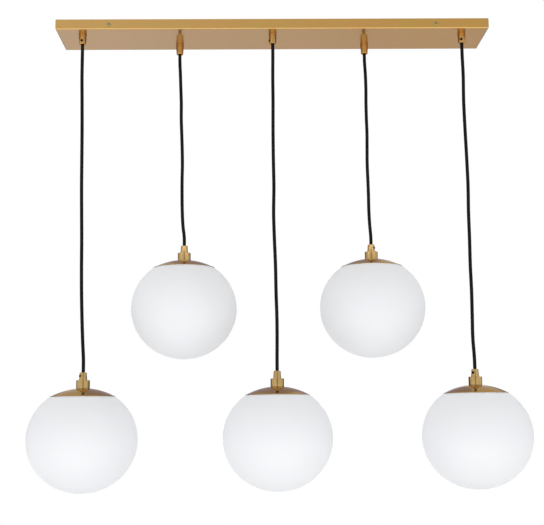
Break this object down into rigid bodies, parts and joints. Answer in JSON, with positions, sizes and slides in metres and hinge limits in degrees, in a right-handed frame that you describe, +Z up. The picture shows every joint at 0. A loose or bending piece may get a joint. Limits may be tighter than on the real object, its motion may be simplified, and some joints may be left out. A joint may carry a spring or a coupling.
{
  "type": "globe chandelier",
  "caption": "Linear ceiling light: a shallow brass canopy tray with opal glass globes hung on black cords in two staggered rows.",
  "frame": {"origin": "middle of the four ceiling screw slots, on the ceiling plane", "axes": "+Z up towards the ceiling, +X along the tray to the right, +Y from the front row of long cords to the rear row of short ones"},
  "size_m": [0.891, 0.2498, 0.8568],
  "materials": {
    "satin_brass": "satin",
    "turned_brass": "turned",
    "polished_brass": "polished",
    "plain_brass": "plain",
    "zinc_steel": "zinc plated",
    "nickel_steel": "nickel plated",
    "black_steel": "black oxide",
    "black_cord": "smooth black sheath",
    "lead_sleeve": "woven sleeve",
    "terminal_plastic": "moulded",
    "ceramic": "glazed",
    "lamp_glass": "frosted",
    "opal_glass": "matt opal"
  },
  "bodies": {
    "ceiling_mount": {"canopy_tray": "satin_brass", "ceiling_brackets": "zinc_steel", "canopy_screws": "nickel_steel", "upper_grips": "turned_brass", "upper_set_screws": "black_steel", "upper_nipples": "plain_brass", "upper_lock_nuts": "zinc_steel", "canopy_leads": "lead_sleeve", "terminal_block": "terminal_plastic", "earth_tab": "zinc_steel"},
    "hanging_cord_1": {"cord_1": "black_cord"},
    "pendant_head_1": {"lower_grip_1": "turned_brass", "lower_set_screw_1": "black_steel", "fitter_cup_1": "turned_brass", "dome_cap_1": "polished_brass", "holder_nipple_1": "plain_brass", "cord_end_1": "black_cord", "lampholder_1": "ceramic"},
    "globe_1": {"glass_globe_1": "opal_glass"},
    "lamp_1": {"bulb_1": "lamp_glass"},
    "hanging_cord_2": {"cord_2": "black_cord"},
    "pendant_head_2": {"lower_grip_2": "turned_brass", "lower_set_screw_2": "black_steel", "fitter_cup_2": "turned_brass", "dome_cap_2": "polished_brass", "holder_nipple_2": "plain_brass", "cord_end_2": "black_cord", "lampholder_2": "ceramic"},
    "globe_2": {"glass_globe_2": "opal_glass"},
    "lamp_2": {"bulb_2": "lamp_glass"},
    "hanging_cord_3": {"cord_3": "black_cord"},
    "pendant_head_3": {"lower_grip_3": "turned_brass", "lower_set_screw_3": "black_steel", "fitter_cup_3": "turned_brass", "dome_cap_3": "polished_brass", "holder_nipple_3": "plain_brass", "cord_end_3": "black_cord", "lampholder_3": "ceramic"},
    "globe_3": {"glass_globe_3": "opal_glass"},
    "lamp_3": {"bulb_3": "lamp_glass"},
    "hanging_cord_4": {"cord_4": "black_cord"},
    "pendant_head_4": {"lower_grip_4": "turned_brass", "lower_set_screw_4": "black_steel", "fitter_cup_4": "turned_brass", "dome_cap_4": "polished_brass", "holder_nipple_4": "plain_brass", "cord_end_4": "black_cord", "lampholder_4": "ceramic"},
    "globe_4": {"glass_globe_4": "opal_glass"},
    "lamp_4": {"bulb_4": "lamp_glass"},
    "hanging_cord_5": {"cord_5": "black_cord"},
    "pendant_head_5": {"lower_grip_5": "turned_brass", "lower_set_screw_5": "black_steel", "fitter_cup_5": "turned_brass", "dome_cap_5": "polished_brass", "holder_nipple_5": "plain_brass", "cord_end_5": "black_cord", "lampholder_5": "ceramic"},
    "globe_5": {"glass_globe_5": "opal_glass"},
    "lamp_5": {"bulb_5": "lamp_glass"}
  },
  "joints": [
    {"name": "cord_swing_1", "type": "hinge", "parent": "ceiling_mount", "child": "hanging_cord_1", "pos_m": [-0.354, -0.028, -0.0385], "axis": [1, 0, 0], "range_deg": [-12, 12]},
    {"name": "head_tilt_1", "type": "hinge", "parent": "hanging_cord_1", "child": "pendant_head_1", "pos_m": [-0.342, -0.028, -0.6465], "axis": [0, 1, 0], "range_deg": [-15, 15]},
    {"name": "globe_turn_1", "type": "hinge", "parent": "pendant_head_1", "child": "globe_1", "pos_m": [-0.342, -0.028, -0.76433], "axis": [0, 0, 1], "range_deg": [0, 60]},
    {"name": "lamp_pull_1", "type": "slide", "parent": "pendant_head_1", "child": "lamp_1", "axis": [0, 0, -1], "range_m": [0, 0.012]},
    {"name": "cord_swing_2", "type": "hinge", "parent": "ceiling_mount", "child": "hanging_cord_2", "pos_m": [-0.177, 0.028, -0.0385], "axis": [1, 0, 0], "range_deg": [-12, 12]},
    {"name": "head_tilt_2", "type": "hinge", "parent": "hanging_cord_2", "child": "pendant_head_2", "pos_m": [-0.1675, 0.028, -0.4105], "axis": [0, 1, 0], "range_deg": [-15, 15]},
    {"name": "globe_turn_2", "type": "hinge", "parent": "pendant_head_2", "child": "globe_2", "pos_m": [-0.1675, 0.028, -0.52833], "axis": [0, 0, 1], "range_deg": [0, 60]},
    {"name": "lamp_pull_2", "type": "slide", "parent": "pendant_head_2", "child": "lamp_2", "axis": [0, 0, -1], "range_m": [0, 0.012]},
    {"name": "cord_swing_3", "type": "hinge", "parent": "ceiling_mount", "child": "hanging_cord_3", "pos_m": [0, -0.028, -0.0385], "axis": [1, 0, 0], "range_deg": [-12, 12]},
    {"name": "head_tilt_3", "type": "hinge", "parent": "hanging_cord_3", "child": "pendant_head_3", "pos_m": [0.002, -0.028, -0.6465], "axis": [0, 1, 0], "range_deg": [-15, 15]},
    {"name": "globe_turn_3", "type": "hinge", "parent": "pendant_head_3", "child": "globe_3", "pos_m": [0.002, -0.028, -0.76433], "axis": [0, 0, 1], "range_deg": [0, 60]},
    {"name": "lamp_pull_3", "type": "slide", "parent": "pendant_head_3", "child": "lamp_3", "axis": [0, 0, -1], "range_m": [0, 0.012]},
    {"name": "cord_swing_4", "type": "hinge", "parent": "ceiling_mount", "child": "hanging_cord_4", "pos_m": [0.177, 0.028, -0.0385], "axis": [1, 0, 0], "range_deg": [-12, 12]},
    {"name": "head_tilt_4", "type": "hinge", "parent": "hanging_cord_4", "child": "pendant_head_4", "pos_m": [0.181, 0.028, -0.4105], "axis": [0, 1, 0], "range_deg": [-15, 15]},
    {"name": "globe_turn_4", "type": "hinge", "parent": "pendant_head_4", "child": "globe_4", "pos_m": [0.181, 0.028, -0.52833], "axis": [0, 0, 1], "range_deg": [0, 60]},
    {"name": "lamp_pull_4", "type": "slide", "parent": "pendant_head_4", "child": "lamp_4", "axis": [0, 0, -1], "range_m": [0, 0.012]},
    {"name": "cord_swing_5", "type": "hinge", "parent": "ceiling_mount", "child": "hanging_cord_5", "pos_m": [0.354, -0.028, -0.0385], "axis": [1, 0, 0], "range_deg": [-12, 12]},
    {"name": "head_tilt_5", "type": "hinge", "parent": "hanging_cord_5", "child": "pendant_head_5", "pos_m": [0.355, -0.028, -0.6465], "axis": [0, 1, 0], "range_deg": [-15, 15]},
    {"name": "globe_turn_5", "type": "hinge", "parent": "pendant_head_5", "child": "globe_5", "pos_m": [0.355, -0.028, -0.76433], "axis": [0, 0, 1], "range_deg": [0, 60]},
    {"name": "lamp_pull_5", "type": "slide", "parent": "pendant_head_5", "child": "lamp_5", "axis": [0, 0, -1], "range_m": [0, 0.012]}
  ]
}
